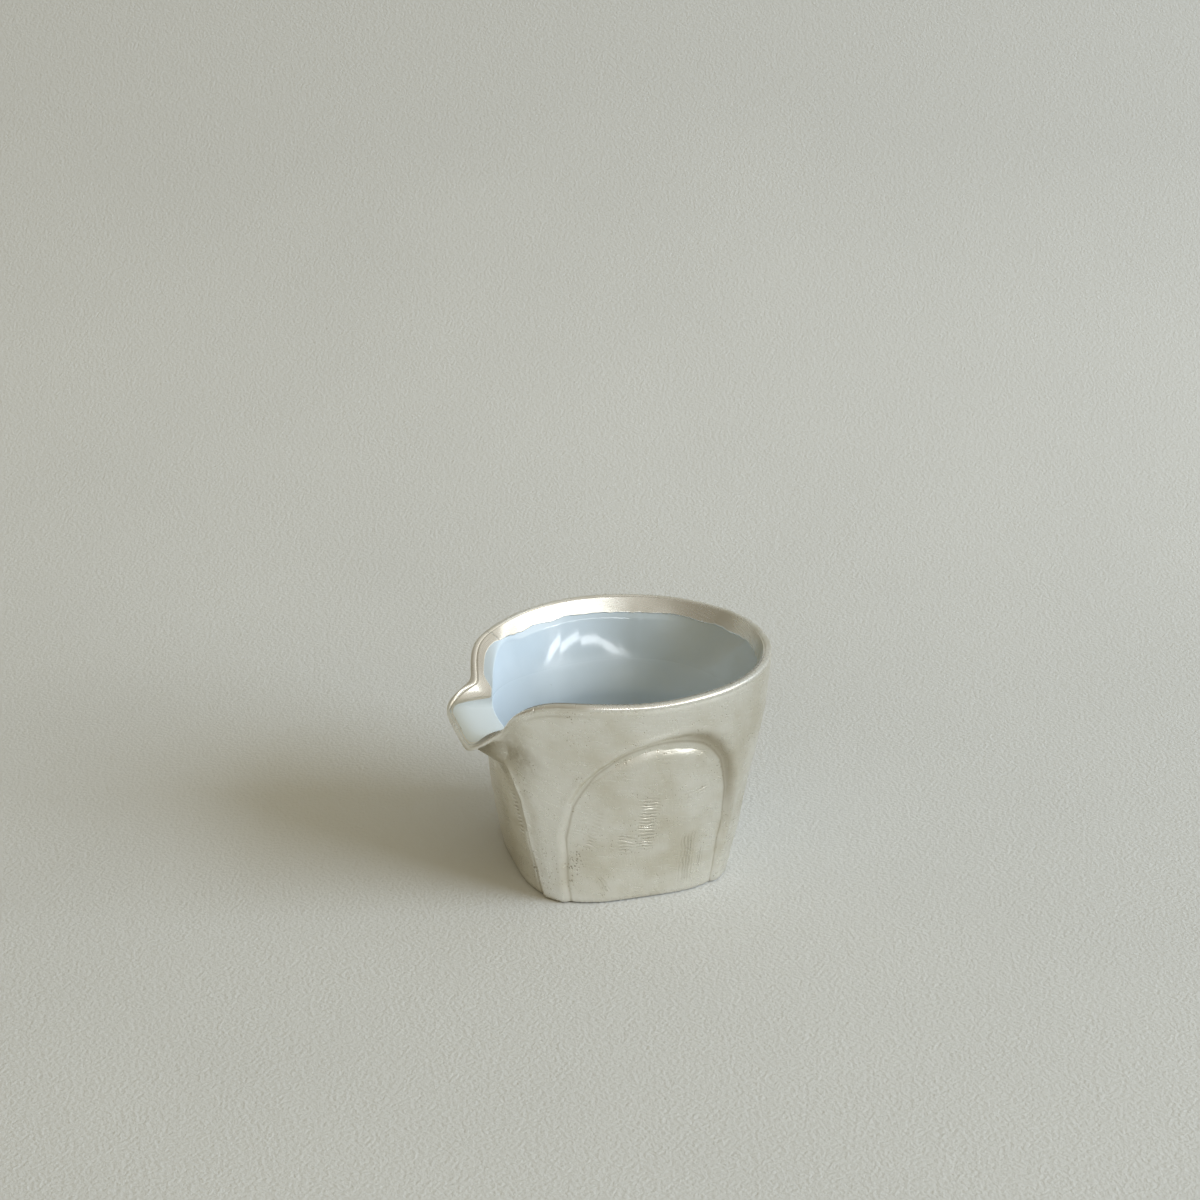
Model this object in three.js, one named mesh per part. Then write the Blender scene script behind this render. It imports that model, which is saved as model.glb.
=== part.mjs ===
import * as THREE from 'three';

// Sizes in millimetres. +Z is up, +X is the way the spout pours, z = 0 is the table.

// Mouth, measured over the silver
const RIM_HEIGHT = 64.6;
const RIM_HALF_LENGTH = 43.4;
const RIM_HALF_WIDTH = 40.2;
const RIM_SETBACK = 2.4;

// Foot, a rounded square
const BASE_HALF_LENGTH = 30.2;
const BASE_HALF_WIDTH = 31.2;
const BASE_SQUARENESS = 3.6;

// Wall profile: 1 is a straight cone, more is a fuller belly
const WALL_BULGE = 1.9;
const WALL_TUCK = 1.8;
const TUCK_SPREAD = 24;

// Wall build-up from the outside in
const JACKET_THICKNESS = 1.9;
const LINER_THICKNESS = 2;
const JACKET_EDGE = 0.5;
const LINER_EDGE = 0.7;
const EDGE_TAPER = 10;
const FIT_GAP = 0.3;
const SPOUT_BED = 0.6;

// Silver strip over the edge
const BINDING_THICKNESS = 0.5;
const BINDING_BAR = 1.0;
const BINDING_DEPTH = 5;
const BINDING_ROOT_DEPTH = 2.8;
const BINDING_TIP_DEPTH = 0.5;
const LEG_SHARE = 0.75;
const BINDING_ROUND = 0.3;
const TIP_EDGE = 1.8;
const BINDING_JOINT_ANGLE = 42;

// Spout
const SPOUT_REACH = 46.5;
const SPOUT_HALF_WIDTH = 18.4;
const SPOUT_SQUARENESS = 10;
const SPOUT_DROP = 19.3;
const SPOUT_ANGLE = 29;
const SPOUT_STEEPNESS = 5.2;
const SPOUT_FILLET = 0.9;
const SPOUT_FLARE = 2.7;
const FLARE_ANGLE = 35;
const FLARE_SPREAD = 9.5;
const ROOT_ANGLE = 34;
const ROOT_SPREAD = 8;
const SPOUT_UNDERCUT = 5.8;
const LIP_FACE = 2.2;
const LIP_FLAT_ANGLE = 12;
const LIP_CORNER_ANGLE = 19;
const TROUGH_FALL = 0.9;
const TROUGH_DISH = 2.6;
const TROUGH_STEEPNESS = 3;
const TROUGH_CORNER_ANGLE = 18;
const TROUGH_ROOT_ANGLE = 26;
const FOLD_DEPTH = 6;
const SEAM_BELOW_LIP = 5.2;
const SEAM_ANGLE = 38;
const SEAM_END_HEIGHT = 2.5;

// Floor and plate
const PLATE_THICKNESS = 1;
const LINER_FLOOR = 2.6;
const FLOOR_CORNER = 7;
const BOWL_LEAN = 6.5;
const LEAN_FALL = 22;
const LEAN_POWER = 1.2;
const LEAN_FROM = 20;
const LEAN_FULL = 70;
const FOOT_ROUND = 0.9;

// Arched panels on the wall
const PANEL_DEPTH = 1.3;
const PANEL_SHOULDER = 3;
const PANEL_PILLOW = 12;
const ARCH_POWER = 2.4;
const SIDE_ARCH = { foot: 21.3, waist: 23.6, spring: 22, top: 51.5, lean: -5.5 };
const FRONT_ARCH = { foot: 21.7, waist: 18.5, spring: 20, top: 42, lean: 0 };
const BACK_ARCH = { foot: 21.5, waist: 22.5, spring: 22, top: 51.5, lean: 0 };

// Fineness of the mesh
const STATIONS = 96;
const STATION_WARP = 0.5;
const JACKET_STEPS = 19;
const SKIN_STEPS = 6;
const SHELF_STEPS = 8;

const RAD = Math.PI / 180;
const HALF_TURN = 180;
const MOST_OBLIQUE = 2;

const clamp = (v, lo, hi) => Math.min(hi, Math.max(lo, v));
const mix = (a, b, f) => a + (b - a) * f;
const smooth = (v, lo, hi) => THREE.MathUtils.smoothstep(v, lo, hi);
const bell = (v, spread) => Math.exp(-((v / spread) ** 2));
const fold = (deg) => Math.abs(((((deg + HALF_TURN) % 360) + 360) % 360) - HALF_TURN);

// Plan of the mouth: an ellipse set back behind the middle of the foot
function mouthRadius(deg) {
  const c = Math.cos(deg * RAD);
  const s = Math.sin(deg * RAD);
  const a = (c / RIM_HALF_LENGTH) ** 2 + (s / RIM_HALF_WIDTH) ** 2;
  const b = (RIM_SETBACK * c) / RIM_HALF_LENGTH ** 2;
  const k = (RIM_SETBACK / RIM_HALF_LENGTH) ** 2 - 1;
  return (Math.sqrt(b * b - a * k) - b) / a;
}

// Polar radius of a rounded rectangle about its middle
function squircle(deg, halfLength, halfWidth, power) {
  const c = Math.abs(Math.cos(deg * RAD)) / halfLength;
  const s = Math.abs(Math.sin(deg * RAD)) / halfWidth;
  return (c ** power + s ** power) ** (-1 / power);
}

// 1 along the spout, falling to 0 round the rest of the mouth
function spoutShare(deg) {
  return 1 / (1 + (fold(deg) / SPOUT_ANGLE) ** SPOUT_STEEPNESS);
}

function edgeHeight(deg) {
  return RIM_HEIGHT - SPOUT_DROP * spoutShare(deg);
}

const TIP_HEIGHT = edgeHeight(0);

// Wall of the vessel without its spout
function bodyRadius(deg, z) {
  const share = clamp(z / RIM_HEIGHT, 0, 1);
  const open = 1 - (1 - share) ** WALL_BULGE;
  const foot = squircle(deg, BASE_HALF_LENGTH, BASE_HALF_WIDTH, BASE_SQUARENESS);
  const tuck = WALL_TUCK * bell(fold(deg), TUCK_SPREAD) * smooth(z, 0, TIP_HEIGHT);
  return mix(foot, mouthRadius(deg), open) - tuck;
}

// Plan of the edge or of a line set in from it: the tongue of the spout blends into the flared mouth
function edgeRadius(deg, rimInset = 0, lipInset = 0) {
  const turn = fold(deg);
  const mouth = mouthRadius(deg) + SPOUT_FLARE * bell(turn - FLARE_ANGLE, FLARE_SPREAD) - rimInset;
  if (turn > 90) return mouth;
  const tongue = squircle(deg, SPOUT_REACH - lipInset, SPOUT_HALF_WIDTH - rimInset, SPOUT_SQUARENESS);
  return tongue + SPOUT_FILLET * Math.log(Math.exp((mouth - tongue) / SPOUT_FILLET) + 1);
}

// How much longer a step towards the axis is than the same step square to a plan line
function obliqueness(line, deg) {
  const turn = 0.4;
  const slope = (line(deg + turn) - line(deg - turn)) / (2 * turn * RAD);
  return clamp(Math.hypot(1, slope / line(deg)), 1, MOST_OBLIQUE);
}

// Outside of the silver: the wall swings out under the spout to meet the edge
function outerRadius(deg, z) {
  const top = edgeHeight(deg) - LIP_FACE;
  const start = TIP_HEIGHT - SPOUT_UNDERCUT;
  const rise = clamp((z - start) / (top - start), 0, 1);
  const reach = edgeRadius(deg) - bodyRadius(deg, top);
  return bodyRadius(deg, Math.min(z, top)) + reach * rise ** 1.6;
}

// A point set in from a wall by a depth square to that wall
function setIn(shape, deg, z, depth) {
  const dz = 0.8;
  const r = shape(deg, z);
  const slope = (shape(deg, z + dz) - shape(deg, z - dz)) / (2 * dz);
  const oblique = obliqueness((turned) => shape(turned, z), deg);
  const length = Math.hypot(1, slope);
  return new THREE.Vector2(r - (depth * oblique) / length, z + (depth * slope) / length);
}

// The edge is thinner along the lip of the spout; its layers shrink in step
const FULL_EDGE = JACKET_EDGE + LINER_EDGE + BINDING_THICKNESS + 2 * FIT_GAP;
const lipShare = (deg) => 1 - smooth(fold(deg), LIP_FLAT_ANGLE, LIP_CORNER_ANGLE);
const edgeThickness = (deg) => mix(FULL_EDGE, Math.min(TIP_EDGE, FULL_EDGE), lipShare(deg));
const layerShare = (deg) => (edgeThickness(deg) - 2 * FIT_GAP) / (FULL_EDGE - 2 * FIT_GAP);
const innerEdge = (deg) => edgeRadius(deg, FULL_EDGE, TIP_EDGE);
const acrossEdge = (deg, width) => width * obliqueness(innerEdge, deg);
const legThickness = (deg) => acrossEdge(deg, BINDING_THICKNESS * layerShare(deg));

// Height that leaves the fit gap square to a line that climbs round the wall
function climbGap(line, deg) {
  const arc = mouthRadius(deg) * RAD;
  return FIT_GAP * Math.hypot(1, (line(deg + 0.5) - line(deg - 0.5)) / arc);
}

const wallTop = (deg) => edgeHeight(deg) - BINDING_BAR - climbGap(edgeHeight, deg);

function jacketDepth(deg, z) {
  const thin = JACKET_EDGE * layerShare(deg);
  return mix(thin, JACKET_THICKNESS, clamp((wallTop(deg) - z) / EDGE_TAPER, 0, 1));
}

// Arched panels, drawn by their distance inside the arch
function insideArch(arch, along, z) {
  const width = mix(arch.foot, arch.waist, clamp(z / arch.spring, 0, 1));
  const middle = arch.lean * clamp(z / arch.top, 0, 1) ** 3;
  const across = Math.abs(along - middle) / width;
  const up = Math.max(0, z - arch.spring) / (arch.top - arch.spring);
  return width * (1 - (across ** ARCH_POWER + up ** ARCH_POWER) ** (1 / ARCH_POWER));
}

function panelDepth(deg, z) {
  const r = bodyRadius(deg, z);
  const x = r * Math.cos(deg * RAD);
  const y = r * Math.sin(deg * RAD);
  const turn = fold(deg);
  let inside = insideArch(SIDE_ARCH, x, z);
  if (turn < 45) inside = insideArch(FRONT_ARCH, y, z);
  if (turn > 135) inside = insideArch(BACK_ARCH, y, z);
  const step = smooth(inside, -PANEL_SHOULDER, 0.5);
  const pillow = 1 - 0.45 * smooth(inside, 0, PANEL_PILLOW);
  const footFade = mix(0.45, 1, smooth(z, 0, 30));
  const room = Math.max(0, jacketDepth(deg, z) - JACKET_EDGE);
  return Math.min(room, PANEL_DEPTH * step * pillow * footFade);
}

// Inside of the vessel: from the edge, over the trough or the fold, to the inner wall
const BUILD_UP = JACKET_THICKNESS + FIT_GAP + LINER_THICKNESS;
const FLOOR_TOP = PLATE_THICKNESS + FIT_GAP + LINER_FLOOR;
const WALL_FOOT = FLOOR_TOP + FLOOR_CORNER;

// The inner wall leans in over its upper part, except below the spout
function innerDepth(deg, z) {
  const fall = clamp((RIM_HEIGHT - FOLD_DEPTH - z) / LEAN_FALL, 0, 1);
  const lean = BOWL_LEAN * smooth(fold(deg), LEAN_FROM, LEAN_FULL);
  return BUILD_UP + lean * (1 - (1 - fall) ** LEAN_POWER);
}

function innerCurve(deg) {
  const top = new THREE.Vector2(innerEdge(deg), edgeHeight(deg));
  const side = top.x * Math.abs(Math.sin(deg * RAD));
  const dish = Math.min(1, side / SPOUT_HALF_WIDTH) ** 3;
  const floor = TIP_HEIGHT + TROUGH_FALL + TROUGH_DISH * dish;
  const creaseZ = Math.max(floor, top.y - FOLD_DEPTH);
  const crease = setIn(bodyRadius, deg, creaseZ, innerDepth(deg, creaseZ));
  const steep = TROUGH_STEEPNESS * (1 - smooth(fold(deg), TROUGH_CORNER_ANGLE, TROUGH_ROOT_ANGLE));
  const power = 1 + spoutShare(deg) + steep;
  const points = [];
  for (let i = 0; i <= SHELF_STEPS; i += 1) {
    const f = i / SHELF_STEPS;
    points.push(new THREE.Vector2(mix(top.x, crease.x, f), mix(crease.y, top.y, (1 - f) ** power)));
  }
  for (let i = 1; i <= 6; i += 1) {
    const z = mix(creaseZ, WALL_FOOT, i / 6);
    points.push(setIn(bodyRadius, deg, z, innerDepth(deg, z)));
  }
  return points;
}

// Depth of the strip on the inside; it stops short of the crease
function legDepth(deg, curve) {
  const shelf = curve.slice(1, SHELF_STEPS + 1).reduce((sum, p, i) => sum + p.distanceTo(curve[i]), 0);
  const side = mix(BINDING_DEPTH, BINDING_ROOT_DEPTH, bell(fold(deg) - ROOT_ANGLE, ROOT_SPREAD));
  return Math.min(mix(side, BINDING_TIP_DEPTH, lipShare(deg)), LEG_SHARE * shelf);
}

// A point a given way along a polyline
function walk(points, distance) {
  let left = distance;
  let i = 1;
  while (i < points.length - 1 && left > points[i].distanceTo(points[i - 1])) {
    left -= points[i].distanceTo(points[i - 1]);
    i += 1;
  }
  const dir = points[i].clone().sub(points[i - 1]).normalize();
  return points[i - 1].clone().addScaledVector(dir, left);
}

// The same point moved towards the wall, square to the line
function along(points, distance, offset) {
  const reach = 0.8;
  const dir = walk(points, distance + reach).sub(walk(points, distance - reach)).normalize();
  return walk(points, distance).add(new THREE.Vector2(-dir.y, dir.x).multiplyScalar(offset));
}

// Directions round the axis, closer together at the spout
function stationAngle(i) {
  const u = (i / STATIONS) * 2 * Math.PI;
  return (u - STATION_WARP * Math.sin(u)) / RAD;
}

const ring = Array.from({ length: STATIONS }, (_, i) => stationAngle(i));

function arcStations(from, to) {
  const span = to - from;
  const first = ((from % 360) + 360) % 360;
  const between = ring
    .map((deg) => (((deg - first) % 360) + 360) % 360)
    .filter((turn) => turn > 0.8 && turn < span - 0.8)
    .sort((a, b) => a - b);
  return [0, ...between, span].map((turn) => from + turn);
}

// Solids from sections: one outline per direction, joined to its neighbours
function place(section, deg) {
  const c = Math.cos(deg * RAD);
  const s = Math.sin(deg * RAD);
  return section.map((p) => [p.x * c, p.x * s, p.y]);
}

function solid(vertices, faces) {
  const geometry = new THREE.BufferGeometry();
  geometry.setAttribute('position', new THREE.Float32BufferAttribute(vertices.flat(), 3));
  geometry.setIndex(faces.flat());
  geometry.computeVertexNormals();
  return geometry;
}

// Full ring of closed outlines that run anticlockwise in the (radius, height) plane
function ringSolid(outline) {
  const sections = ring.map((deg) => place(outline(deg), deg));
  const count = sections[0].length;
  const faces = [];
  for (let i = 0; i < STATIONS; i += 1) {
    const a = i * count;
    const b = ((i + 1) % STATIONS) * count;
    for (let j = 0; j < count; j += 1) {
      const k = (j + 1) % count;
      faces.push([a + j, b + j, b + k], [a + j, b + k, a + k]);
    }
  }
  return solid(sections.flat(), faces);
}

// Part of a ring, closed by a flat face at each end
function arcSolid(outline, angles) {
  const flat = angles.map((deg) => outline(deg));
  const sections = flat.map((section, i) => place(section, angles[i]));
  const count = sections[0].length;
  const faces = [];
  for (let i = 0; i < angles.length - 1; i += 1) {
    const a = i * count;
    const b = a + count;
    for (let j = 0; j < count; j += 1) {
      const k = (j + 1) % count;
      faces.push([a + j, b + j, b + k], [a + j, b + k, a + k]);
    }
  }
  const last = (angles.length - 1) * count;
  for (const [p, q, r] of THREE.ShapeUtils.triangulateShape(flat[0], [])) faces.push([p, q, r]);
  for (const [p, q, r] of THREE.ShapeUtils.triangulateShape(flat.at(-1), [])) {
    faces.push([last + p, last + r, last + q]);
  }
  return solid(sections.flat(), faces);
}

// Round solid whose outlines start and end on the axis
function axisSolid(outline, low, high) {
  const sections = ring.map((deg) => place(outline(deg), deg));
  const count = sections[0].length;
  const vertices = [...sections.flat(), [0, 0, low], [0, 0, high]];
  const bottom = STATIONS * count;
  const faces = [];
  for (let i = 0; i < STATIONS; i += 1) {
    const a = i * count;
    const b = ((i + 1) % STATIONS) * count;
    faces.push([bottom, b, a]);
    for (let j = 0; j < count - 1; j += 1) {
      faces.push([a + j, b + j, a + j + 1], [b + j, b + j + 1, a + j + 1]);
    }
    faces.push([bottom + 1, a + count - 1, b + count - 1]);
  }
  return solid(vertices, faces);
}

// Seam between jacket and spout shell
function seamHeight(deg) {
  const share = clamp(fold(deg) / SEAM_ANGLE, 0, 1) ** 3;
  const end = wallTop(SEAM_ANGLE) - SEAM_END_HEIGHT;
  return mix(TIP_HEIGHT - SEAM_BELOW_LIP, end, share);
}

const inSpout = (deg) => fold(deg) < SEAM_ANGLE;
const seamEnd = Math.max(...ring.filter(inSpout).map(fold));

const towardsTop = (i) => 1 - (1 - i / SKIN_STEPS) ** 1.4;

// Heights of the joint face between silver and porcelain, closer together near the seam
function levels(deg) {
  const low = FOOT_ROUND + 1.5;
  const seam = inSpout(deg) ? seamHeight(deg) : wallTop(deg) - SEAM_END_HEIGHT;
  const below = (i) => mix(low, seam, towardsTop(i));
  const above = (i) => mix(seam, wallTop(deg), i / SKIN_STEPS);
  const steps = Array.from({ length: SKIN_STEPS }, (_, i) => i + 1);
  return [low, ...steps.map(below), ...steps.map(above)];
}

function jacketOutline(deg) {
  const top = inSpout(deg) ? seamHeight(deg) : wallTop(deg);
  const foot = bodyRadius(deg, 0);
  const points = [new THREE.Vector2(foot - FOOT_ROUND, 0)];
  for (let i = 0; i <= JACKET_STEPS; i += 1) {
    const z = mix(FOOT_ROUND, top, i / JACKET_STEPS);
    points.push(setIn(outerRadius, deg, z, panelDepth(deg, z)));
  }
  for (let i = SKIN_STEPS; i >= 0; i -= 1) {
    const z = mix(FOOT_ROUND + 1.5, top, towardsTop(i));
    points.push(setIn(outerRadius, deg, z, jacketDepth(deg, z)));
  }
  points.push(new THREE.Vector2(foot - JACKET_THICKNESS - FIT_GAP, 0));
  return points;
}

function shellOutline(deg) {
  const heights = levels(deg).slice(SKIN_STEPS);
  heights[0] += climbGap(seamHeight, deg);
  const outside = heights.map((z) => setIn(outerRadius, deg, z, 0));
  const inside = heights.map((z) => setIn(outerRadius, deg, z, jacketDepth(deg, z)));
  for (const point of inside) point.y = Math.min(point.y, heights.at(-1));
  return [...outside, ...inside.reverse()];
}

function linerOutline(deg) {
  const low = PLATE_THICKNESS + FIT_GAP;
  const top = wallTop(deg);
  const room = SPOUT_BED * spoutShare(fold(deg) * 0.65);
  const gapAt = (z) => FIT_GAP + room * clamp((top - z) / 2, 0, 1);
  const skin = (z) => setIn(outerRadius, deg, z, jacketDepth(deg, z) + gapAt(z));
  const sides = levels(deg).slice(1).map(skin);
  for (const point of sides) point.y = Math.min(point.y, top);
  const heel = skin(low + 2);
  const points = [new THREE.Vector2(heel.x - 3, low), new THREE.Vector2(heel.x - 1.2, low + 0.7), heel];
  points.push(...sides);
  const curve = innerCurve(deg);
  const rebate = legThickness(deg) + acrossEdge(deg, FIT_GAP) + room * 0.6;
  const depth = legDepth(deg, curve);
  const end = depth + FIT_GAP * (1 + spoutShare(deg));
  points.push(new THREE.Vector2(curve[0].x + rebate, top));
  for (const distance of [depth * 0.35, depth * 0.7, end]) {
    const bed = along(curve, distance, rebate);
    points.push(new THREE.Vector2(bed.x, Math.min(bed.y, top)));
  }
  const start = along(curve, end, 0);
  const walls = curve.slice(-7);
  points.push(start);
  for (const f of [0.33, 0.66]) points.push(start.clone().lerp(walls[0], f));
  points.push(walls[0], walls[2], walls[4], walls[6]);
  const corner = walls[6].x;
  points.push(new THREE.Vector2(corner - FLOOR_CORNER * 0.38, FLOOR_TOP + FLOOR_CORNER * 0.25));
  points.push(new THREE.Vector2(corner - FLOOR_CORNER, FLOOR_TOP));
  return points;
}

function bindingOutline(deg) {
  const edge = edgeRadius(deg);
  const top = edgeHeight(deg);
  const curve = innerCurve(deg);
  const leg = legThickness(deg);
  const depth = legDepth(deg, curve);
  return [
    new THREE.Vector2(curve[0].x + leg, top - BINDING_BAR),
    new THREE.Vector2(edge, top - BINDING_BAR),
    new THREE.Vector2(edge, top - BINDING_ROUND),
    new THREE.Vector2(edge - BINDING_ROUND, top),
    new THREE.Vector2(curve[0].x + BINDING_ROUND * 0.5, top),
    along(curve, BINDING_ROUND * 0.5, 0),
    along(curve, depth * 0.35, 0),
    along(curve, depth * 0.7, 0),
    along(curve, depth, 0),
    along(curve, depth, leg),
    along(curve, depth * 0.7, leg),
    along(curve, depth * 0.35, leg),
  ];
}

function plateOutline(deg) {
  const foot = bodyRadius(deg, 0) - JACKET_THICKNESS - 2 * FIT_GAP;
  return [new THREE.Vector2(foot, 0), new THREE.Vector2(foot, PLATE_THICKNESS)];
}

const jointTurn = (FIT_GAP / mouthRadius(BINDING_JOINT_ANGLE) / RAD) * 0.5;
const seamTurn = (FIT_GAP / mouthRadius(seamEnd) / RAD) * 1.5;
const spoutEnd = BINDING_JOINT_ANGLE - jointTurn;
const rimStart = BINDING_JOINT_ANGLE + jointTurn;
const shellEnd = seamEnd - seamTurn;

const finish = (color, roughness, metalness) =>
  new THREE.MeshStandardMaterial({ color, roughness, metalness });
const chasedSilver = finish(0xbdb9a6, 0.38, 1);
const polishedSilver = finish(0xd8d4c8, 0.16, 1);
const porcelain = finish(0xc6d4de, 0.1, 0);

const group = new THREE.Group();
group.name = 'tea_pitcher';

function add(name, geometry, material) {
  const mesh = new THREE.Mesh(geometry, material);
  mesh.name = name;
  group.add(mesh);
}

add('porcelain_liner', axisSolid(linerOutline, PLATE_THICKNESS + FIT_GAP, FLOOR_TOP), porcelain);
add('silver_jacket', ringSolid(jacketOutline), chasedSilver);
add('silver_spout', arcSolid(shellOutline, arcStations(-shellEnd, shellEnd)), chasedSilver);
add('silver_base', axisSolid(plateOutline, 0, PLATE_THICKNESS), chasedSilver);
add('rim_binding', arcSolid(bindingOutline, arcStations(rimStart, 360 - rimStart)), polishedSilver);
add('spout_binding', arcSolid(bindingOutline, arcStations(-spoutEnd, spoutEnd)), polishedSilver);

export default group;
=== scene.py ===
"""Tea serving pitcher: hand-worked silver over a glazed porcelain vessel, dressed for pictures."""

import logging
import math
from dataclasses import dataclass, fields
from enum import Enum
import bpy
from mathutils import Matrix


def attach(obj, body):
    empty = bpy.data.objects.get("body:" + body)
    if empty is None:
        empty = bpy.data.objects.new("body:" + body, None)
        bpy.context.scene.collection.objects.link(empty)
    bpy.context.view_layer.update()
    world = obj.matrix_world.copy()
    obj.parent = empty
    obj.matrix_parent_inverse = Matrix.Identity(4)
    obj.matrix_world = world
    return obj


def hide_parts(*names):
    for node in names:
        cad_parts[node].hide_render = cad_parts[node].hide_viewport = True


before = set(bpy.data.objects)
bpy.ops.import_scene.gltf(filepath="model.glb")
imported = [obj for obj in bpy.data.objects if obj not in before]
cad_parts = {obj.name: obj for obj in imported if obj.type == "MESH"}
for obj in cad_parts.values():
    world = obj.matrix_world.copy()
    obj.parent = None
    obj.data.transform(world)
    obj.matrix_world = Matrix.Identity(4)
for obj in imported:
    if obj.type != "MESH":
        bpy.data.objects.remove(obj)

from types import SimpleNamespace

import bpy
from mathutils import Vector

LOG = logging.getLogger("tea_pitcher")
MM = 0.001
RAD = math.pi / 180
WELD = 0.002
SLOPE_STEP = 0.8
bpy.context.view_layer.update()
Colour = tuple[float, float, float, float]
Span = tuple[float, float]
Socket = bpy.types.NodeSocket
Material = bpy.types.Material


class Slot(Enum):
    """Material slots of the part's record."""

    PORCELAIN = "porcelain"
    CHASED = "chased_silver"
    POLISHED = "polished_silver"


@dataclass(eq=False)
class Value:
    """A number carried by a node socket, so that formulas are written as plain expressions."""

    sheet: "NodeSheet"
    socket: Socket

    def __add__(self, other: "Value | float") -> "Value":
        """Sum."""
        return self.of("ADD", other)

    __radd__ = __add__

    def __sub__(self, other: "Value | float") -> "Value":
        """Difference."""
        return self.of("SUBTRACT", other)

    def __rsub__(self, other: float) -> "Value":
        """Difference from a plain number."""
        return self.sheet.math("SUBTRACT", other, self)

    def __mul__(self, other: "Value | float") -> "Value":
        """Product."""
        return self.of("MULTIPLY", other)

    __rmul__ = __mul__

    def __truediv__(self, other: "Value | float") -> "Value":
        """Quotient."""
        return self.of("DIVIDE", other)

    def __rtruediv__(self, other: float) -> "Value":
        """A plain number over this one."""
        return self.sheet.math("DIVIDE", other, self)

    def __pow__(self, other: "Value | float") -> "Value":
        """Power of a number that isn't negative."""
        return self.of("POWER", other)

    def __abs__(self) -> "Value":
        """Size without sign."""
        return self.of("ABSOLUTE")

    def of(self, operation: str, *others: "Value | float") -> "Value":
        """Any Math operation with this number first."""
        return self.sheet.math(operation, self, *others)

    def between(self, low: "Value | float", high: "Value | float") -> "Value":
        """The number kept between two limits."""
        return self.of("MAXIMUM", low).of("MINIMUM", high)

    def smooth(self, low: "Value | float", high: "Value | float") -> "Value":
        """An S-shaped rise from 0 at the low limit to 1 at the high one."""
        sockets = {"Value": self, "From Min": low, "From Max": high}
        return self.sheet.value("ShaderNodeMapRange", {"interpolation_type": "SMOOTHSTEP"}, sockets)

    def bell(self, spread: "Value | float") -> "Value":
        """1 where the number is 0, falling to 0 over the spread on both sides."""
        ratio = self / spread
        return (ratio * ratio * -1.0).of("EXPONENT")


def mix(low: Value | float, high: Value | float, share: Value) -> Value:
    """The number a share of the way from low to high."""
    return low + (high - low) * share


class NodeSheet:
    """A node tree that is being drawn, for a material or for a shape."""

    def __init__(self, tree: bpy.types.NodeTree) -> None:
        """Keeps the tree."""
        self.tree = tree

    def node(self, kind: str, settings: dict | None = None,
             sockets: dict | None = None) -> bpy.types.Node:
        """Adds one node.

        Args:
            kind: The node's type.
            settings: Its own settings, set first.
            sockets: Values or links of its sockets, by name or number.

        Returns:
            The new node.
        """
        made = self.tree.nodes.new(kind)
        for name, setting in (settings or {}).items():
            setattr(made, name, setting)
        for key, given in (sockets or {}).items():
            self.feed(self.find(made.inputs, key), given)
        return made

    @staticmethod
    def find(sockets: bpy.types.bpy_prop_collection, key: str | int) -> Socket:
        """The socket with a number, or the one in use with a name."""
        named = (s for s in sockets if s.enabled and s.name == key)
        return sockets[key] if isinstance(key, int) else next(named)

    def feed(self, socket: Socket, given: object) -> None:
        """Links or sets a socket.

        Args:
            socket: The input.
            given: A value or an output to link, or a plain value to set.
        """
        source = given.socket if isinstance(given, Value) else given
        if isinstance(source, Socket):
            self.tree.links.new(source, socket)
        else:
            socket.default_value = given

    def out(self, made: bpy.types.Node, key: str | int = 0) -> Socket:
        """An output socket in use of a node."""
        return self.find(made.outputs, key)

    def value(self, kind: str, settings: dict | None = None, sockets: dict | None = None) -> Value:
        """Adds a node and gives its first output in use as a number."""
        made = self.node(kind, settings, sockets)
        return Value(self, next(s for s in made.outputs if s.enabled))

    def math(self, operation: str, *terms: Value | float) -> Value:
        """Adds one Math node."""
        return self.value("ShaderNodeMath", {"operation": operation}, dict(enumerate(terms)))

    def parts(self, place: Socket) -> list[Value]:
        """The three numbers of a vector."""
        split = self.node("ShaderNodeSeparateXYZ", None, {0: place})
        return [Value(self, part) for part in split.outputs]

    def noise(self, place: Socket, scale: float, detail: float = 2.0) -> Value:
        """Smooth random values about 0.5 over a place vector."""
        sockets = {"Vector": place, "Scale": scale, "Detail": detail, "Roughness": 0.55}
        return self.value("ShaderNodeTexNoise", {"noise_dimensions": "3D"}, sockets)

    def turned(self, place: Socket, angle: float, scale: tuple) -> Socket:
        """A place vector turned by degrees about its third axis, then stretched part by part."""
        spin = self.node("ShaderNodeVectorRotate", {"rotation_type": "Z_AXIS"},
                         {"Vector": place, "Angle": angle * RAD})
        return self.node("ShaderNodeVectorMath", {"operation": "MULTIPLY"},
                         {0: spin.outputs[0], 1: scale}).outputs[0]

    def blend(self, first: object, second: object, share: Value) -> Socket:
        """A colour between two colours."""
        sockets = {"Factor": share, "A": first, "B": second}
        return self.out(self.node("ShaderNodeMix", {"data_type": "RGBA"}, sockets), "Result")


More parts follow.
